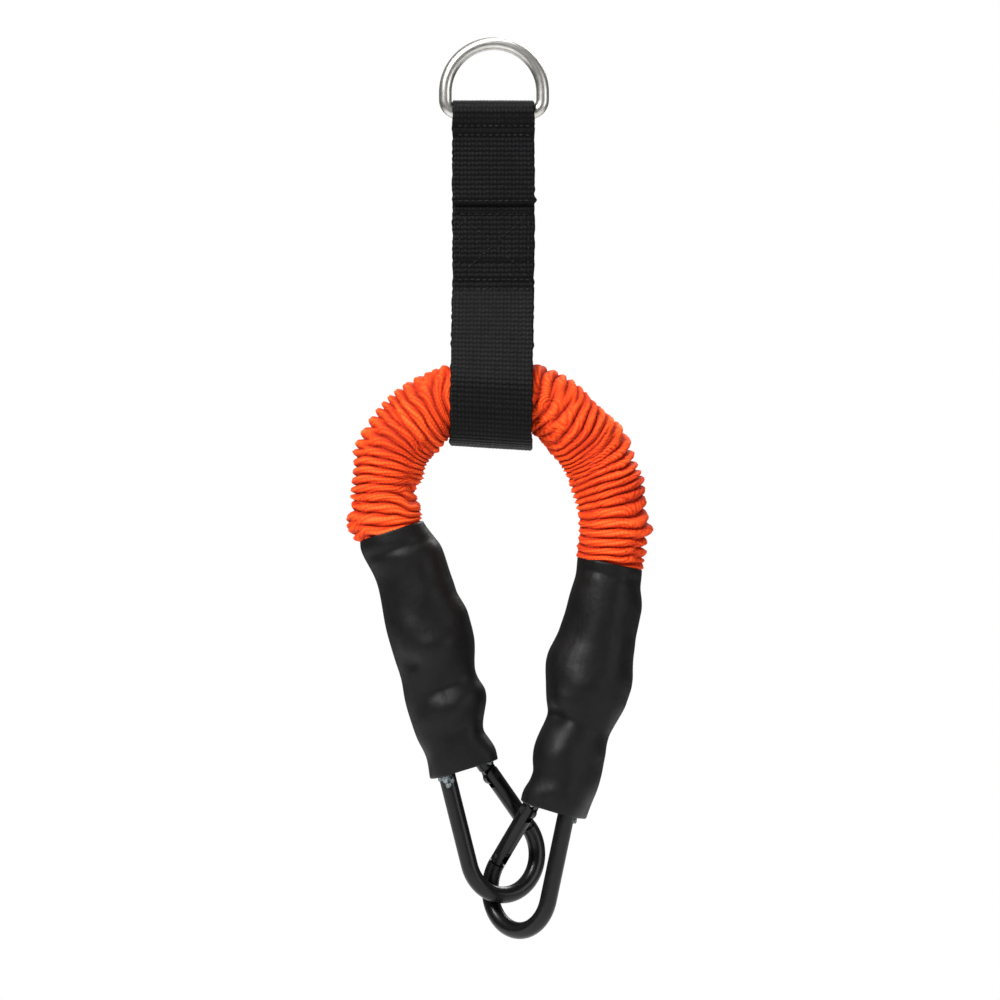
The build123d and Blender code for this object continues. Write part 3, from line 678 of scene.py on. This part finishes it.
# Lumps and dents: distance down, degrees from the right towards the front, height, the spread
# along and the spread round. The lumps next to the mouth cover the hook's wires.
LEFT_LUMPS = [(37, 85, 1.5, 6.0, 36), (31, 120, 0.8, 6.0, 28), (49, 82, -1.3, 3.3, 34),
              (39, 128, -0.9, 2.2, 15), (56, 75, 0.5, 4.0, 30), (62, 60, -0.6, 3.0, 26),
              (13, 120, -0.4, 6, 30), (73, 104, 1.8, 6.0, 30), (73, -80, 1.6, 6.5, 30),
              (20, 70, 0.5, 6, 28), (5.2, 95, -0.45, 1.6, 75), (57, 125, 0.4, 5, 25)]
RIGHT_LUMPS = [(37, 95, 1.0, 6.0, 32), (31, 60, 0.5, 6, 28), (42, 130, 0.8, 3.2, 24),
               (47.5, 150, -1.3, 2.4, 26), (49, 80, -0.6, 3.0, 40), (58, 120, 0.5, 4.5, 30),
               (14, 75, 0.4, 8, 24), (22, 130, -0.5, 5, 26), (74, 100, 1.9, 7, 28),
               (74, -108, 2.0, 6.5, 30), (3.0, 90, -0.3, 1.4, 120), (70, 130, 0.4, 3, 20)]
LUMP_GAIN = 1.5
BOOT_R, BOOT_WALL, BOOT_LIP, LEAST_HALF = 10, 1.15, 0.35, 5
# The adhesive in a mouth, from its hidden end to its surface: share of the width, depth.
FILL_ROWS = ((0.05, 4.0), (0.84, 4.0), (0.92, 2.0), (0.8, 1.7), (0.55, 1.8), (0.3, 1.6), (0.05, 1.7))
FILL_END = 4.0


def boot_section(q, half, half_depth, turn):
    """A turned oval. Its half width gives the wanted outline once the section is turned."""
    square = (half ** 2 - (half_depth * np.sin(turn)) ** 2) / np.cos(turn) ** 2
    wide = np.sqrt(np.clip(square, LEAST_HALF ** 2, None))
    ring_x, ring_y = wide * np.cos(q), -half_depth * np.sin(q)
    x = ring_x * np.cos(turn) - ring_y * np.sin(turn)
    y = ring_x * np.sin(turn) + ring_y * np.cos(turn)
    return x, y


def boot_growth(s, q, lumps, seed):
    """How far the skin stands out from the plain section."""
    grow = np.zeros((len(s), q.shape[1]))
    for at, angle, height, spread, spread_deg in lumps:
        away = (np.degrees(q) - angle + 180) % 360 - 180
        grow = grow + LUMP_GAIN * height * bell(s, at, spread)[:, None] * bell(away, 0, spread_deg)
    place = np.stack(np.broadcast_arrays(np.cos(q) * BOOT_R, np.sin(q) * BOOT_R, s[:, None]), -1)
    grow = grow + 0.28 * noise3(place, 9.0, seed) + 0.13 * noise3(place, 4.0, seed + 10)
    # Faint flow lines where the tube has drawn in over what is under it.
    return grow + 0.05 * noise3(place * np.array([1, 1, 0.12]), 1.6, seed + 20)


def boot(side, top, down, profile, depth_rows, lumps, skew, seed):
    """One boot. skew is the slope of its mouth from one side to the other."""
    top, down = np.array(top), np.array(down)
    across = np.array([-down[2], 0, down[0]])
    profile, depth_rows = np.array(profile), np.array(depth_rows, float)
    step = 0.5
    s = np.arange(profile[0, 0], profile[-1, 0] + step / 2, step)
    reach = blur(np.stack([np.interp(s, profile[:, 0], profile[:, k]) for k in (1, 2)], 1), 2.0)
    rest = blur(np.stack([np.interp(s, depth_rows[:, 0], depth_rows[:, k]) for k in (1, 2, 3)], 1), 4.0)
    count = 128
    q = np.linspace(0, 2 * pi, count, endpoint=False)[None]
    half = ((reach[:, 1] - reach[:, 0]) / 2)[:, None]
    x, y = boot_section(q, half, rest[:, 1][:, None], np.radians(rest[:, 2])[:, None])
    grow = boot_growth(s, q, lumps, seed)
    radius = np.hypot(x, y)
    frontal = np.abs(np.sin(q)) ** 0.7
    x, y = x * (1 + grow * frontal / radius), y * (1 + grow / radius)
    centre = ((reach[:, 1] + reach[:, 0]) / 2)[:, None]
    back = rest[:, 0][:, None]

    def placed(px, py, rows):
        out = (top[None, None] + down[None, None] * s[rows][:, None, None]
               + across[None, None] * (px + centre)[rows][..., None])
        out[..., 1] += (py + back)[rows]
        slope = skew * smoothstep(s[rows], s[-1] - 14, s[-1])[:, None, None]
        return out + down[None, None] * slope * px[rows][..., None]

    every = np.arange(len(s))
    shrink = 1 - BOOT_WALL / np.hypot(x, y)
    lip = 1 - BOOT_LIP / np.hypot(x, y)
    rings = np.concatenate([
        placed(x * shrink, y * shrink, every[:1]), placed(x * lip, y * lip, every[:1]) - down * 0.25,
        placed(x, y, every), placed(x * lip, y * lip, every[-1:]) + down * 0.3,
        placed(x * shrink, y * shrink, every[-1:]) + down * 0.15,
        placed(x * shrink, y * shrink, every[-2:0:-3])])
    v = np.linspace(0, 0.15, len(rings) + 1)
    u = np.linspace(0, 2 * pi * BOOT_R, count + 1) * MM
    piece = lattice(f"boot_{side}", rings, u, v, closed=True)
    fill_mouth(side, placed, x * shrink, y * shrink, every, down, u)
    dress(piece, SHRINK)
    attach(piece, "tether")
    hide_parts(f"heat_shrink_{side}")


def fill_mouth(side, placed, x, y, every, down, u):
    """Adhesive that fills the mouth a little below its lip, with an uneven surface."""
    rows = []
    for share, depth in FILL_ROWS:
        ring = placed(x * share, y * share, every[-1:])
        uneven = 0.5 * noise3(ring, 2.6, 91) if depth < FILL_END else np.zeros(ring.shape[:2])
        rows.append(ring - down * depth + down * uneven[..., None])
    piece = lattice(f"adhesive_fill_{side}", np.concatenate(rows), u, np.linspace(0, 0.02, len(rows)))
    dress(piece, ADHESIVE)
    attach(piece, "tether")
    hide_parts(f"adhesive_bead_{side}")


boot("left", (-30.6, 0, -144.6), (0.29551, 0, -0.95534), LEFT_BOOT, LEFT_DEPTH, LEFT_LUMPS,
     skew=0.0, seed=55)
boot("right", (34.65, 0, -154.35), (-0.21293, 0, -0.97707), RIGHT_BOOT, RIGHT_DEPTH, RIGHT_LUMPS,
     skew=0.07, seed=56)


# ---- Adhesive squeezed out at the boots' mouths ----


def blob(points, seed):
    """Small rounded lumps at (x, y, z, radius), as one mesh."""
    work = bmesh.new()
    for k, (x, y, z, radius) in enumerate(points):
        made = bmesh.ops.create_icosphere(work, subdivisions=4, radius=1.0)["verts"]
        co = np.array([v.co for v in made])
        swell = 1 + 0.28 * noise3(co, 0.9, seed + k) + 0.12 * noise3(co, 0.4, seed + k + 50)
        for vert, p, grow in zip(made, co, swell):
            vert.co = Vector((x + p[0] * radius * grow, y + p[1] * radius * grow * 0.9,
                              z + p[2] * radius * grow * 1.15)) * MM
    mesh = bpy.data.meshes.new("adhesive")
    work.to_mesh(mesh)
    work.free()
    return mesh


BLOB_SEED = 81
BLOBS = {"left": [(-15.6, -1.4, -218.2, 1.1), (-14.3, -2.3, -218.4, 1.3), (-12.8, -2.2, -218.9, 0.9),
                  (-13.6, -2.5, -220.4, 0.8), (-1.6, 4.8, -213.6, 1.1)],
         "right": [(23.9, -6.6, -230.6, 1.1), (22.6, -7.6, -230.4, 1.1), (21.4, -7.6, -229.9, 0.8),
                   (11.4, -0.8, -226.2, 0.8)]}
for mouth_side in SIDES:
    beads = shown(f"adhesive_{mouth_side}", blob(BLOBS[mouth_side], BLOB_SEED))
    dress(beads, ADHESIVE)
    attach(beads, "tether")


# ---- Floor, light and camera ----

CENTRE = Vector((0.0018, 0.0, -0.1350))
FAR, VIEW_WIDTH, SENSOR = 1.5, 0.300, 36.0
FLOOR_R, FLOOR_Z, FLOOR_SIDES = 0.62, -0.365, 96
# Place, size and power of each light.
LIGHTS = {"key": ((-0.60, -0.80, 0.62), 0.42, 22.0), "fill": ((0.95, -0.70, -0.05), 0.7, 4.0),
          "rim": ((0.35, 0.80, 0.55), 0.6, 7.0), "top": ((0.0, -0.15, 0.95), 0.5, 6.0)}
# Height in the sky and its brightness.
SKY = ((0.30, 0.05), (0.85, 0.30))


def floor():
    """A pale disc well below the object."""
    mesh = bpy.data.meshes.new("floor")
    turns = [2 * pi * k / FLOOR_SIDES for k in range(FLOOR_SIDES)]
    rim = [(FLOOR_R * cos(a), FLOOR_R * sin(a), FLOOR_Z) for a in turns]
    mesh.from_pydata(rim, [], [tuple(range(FLOOR_SIDES))])
    piece = shown("floor", mesh)
    paint = Paint("pale_floor", Specular_IOR_Level=0.1)
    paint.colours(paint.noise(3.0), (0.3, (0.86, 0.86, 0.86)), (0.7, (0.90, 0.90, 0.90)))
    paint.roughness(paint.noise(9.0), 0.85, 0.95)
    dress(piece, paint.material)


def area_light(name, place, size, power):
    data = bpy.data.lights.new(name, "AREA")
    data.shape = "DISK"
    data.size = size
    data.energy = power
    lamp = bpy.data.objects.new(name, data)
    bpy.context.scene.collection.objects.link(lamp)
    lamp.location = place
    lamp.rotation_euler = (CENTRE - Vector(place)).to_track_quat("-Z", "Y").to_euler()


floor()
for light_name, (light_place, light_size, light_power) in LIGHTS.items():
    area_light(light_name, light_place, light_size, light_power)


def studio():
    """White behind the object for the camera, and a softer light that is brighter from above."""
    world = bpy.data.worlds.new("studio")
    bpy.context.scene.world = world
    world.use_nodes = True
    tree = world.node_tree
    soft = tree.nodes["Background"]
    coords = tree.nodes.new("ShaderNodeTexCoord")
    split = tree.nodes.new("ShaderNodeSeparateXYZ")
    ramp = tree.nodes.new("ShaderNodeValToRGB")
    tree.links.new(coords.outputs["Generated"], split.inputs["Vector"])
    shift = tree.nodes.new("ShaderNodeMapRange")
    shift.inputs["From Min"].default_value = -1.0
    tree.links.new(split.outputs["Z"], shift.inputs["Value"])
    tree.links.new(shift.outputs["Result"], ramp.inputs["Fac"])
    for element, (at, grey) in zip(ramp.color_ramp.elements, SKY):
        element.position = at
        element.color = (grey, grey, grey, 1)
    tree.links.new(ramp.outputs["Color"], soft.inputs["Color"])
    white = tree.nodes.new("ShaderNodeBackground")
    paths = tree.nodes.new("ShaderNodeLightPath")
    mix = tree.nodes.new("ShaderNodeMixShader")
    tree.links.new(paths.outputs["Is Camera Ray"], mix.inputs["Fac"])
    tree.links.new(soft.outputs["Background"], mix.inputs[1])
    tree.links.new(white.outputs["Background"], mix.inputs[2])
    tree.links.new(mix.outputs["Shader"], tree.nodes["World Output"].inputs["Surface"])
    white.inputs["Color"].default_value = (1, 1, 1, 1)
    white.inputs["Strength"].default_value = 1.0


studio()
bpy.context.scene.view_settings.view_transform = "Standard"

camera_data = bpy.data.cameras.new("camera")
camera_data.sensor_width = SENSOR
camera_data.lens = SENSOR * FAR / VIEW_WIDTH
camera_data.clip_end = 100.0
camera = bpy.data.objects.new("camera", camera_data)
bpy.context.scene.collection.objects.link(camera)
camera.location = CENTRE + Vector((0, -FAR, 0))
camera.rotation_euler = (radians(90), 0, 0)
bpy.context.scene.camera = camera
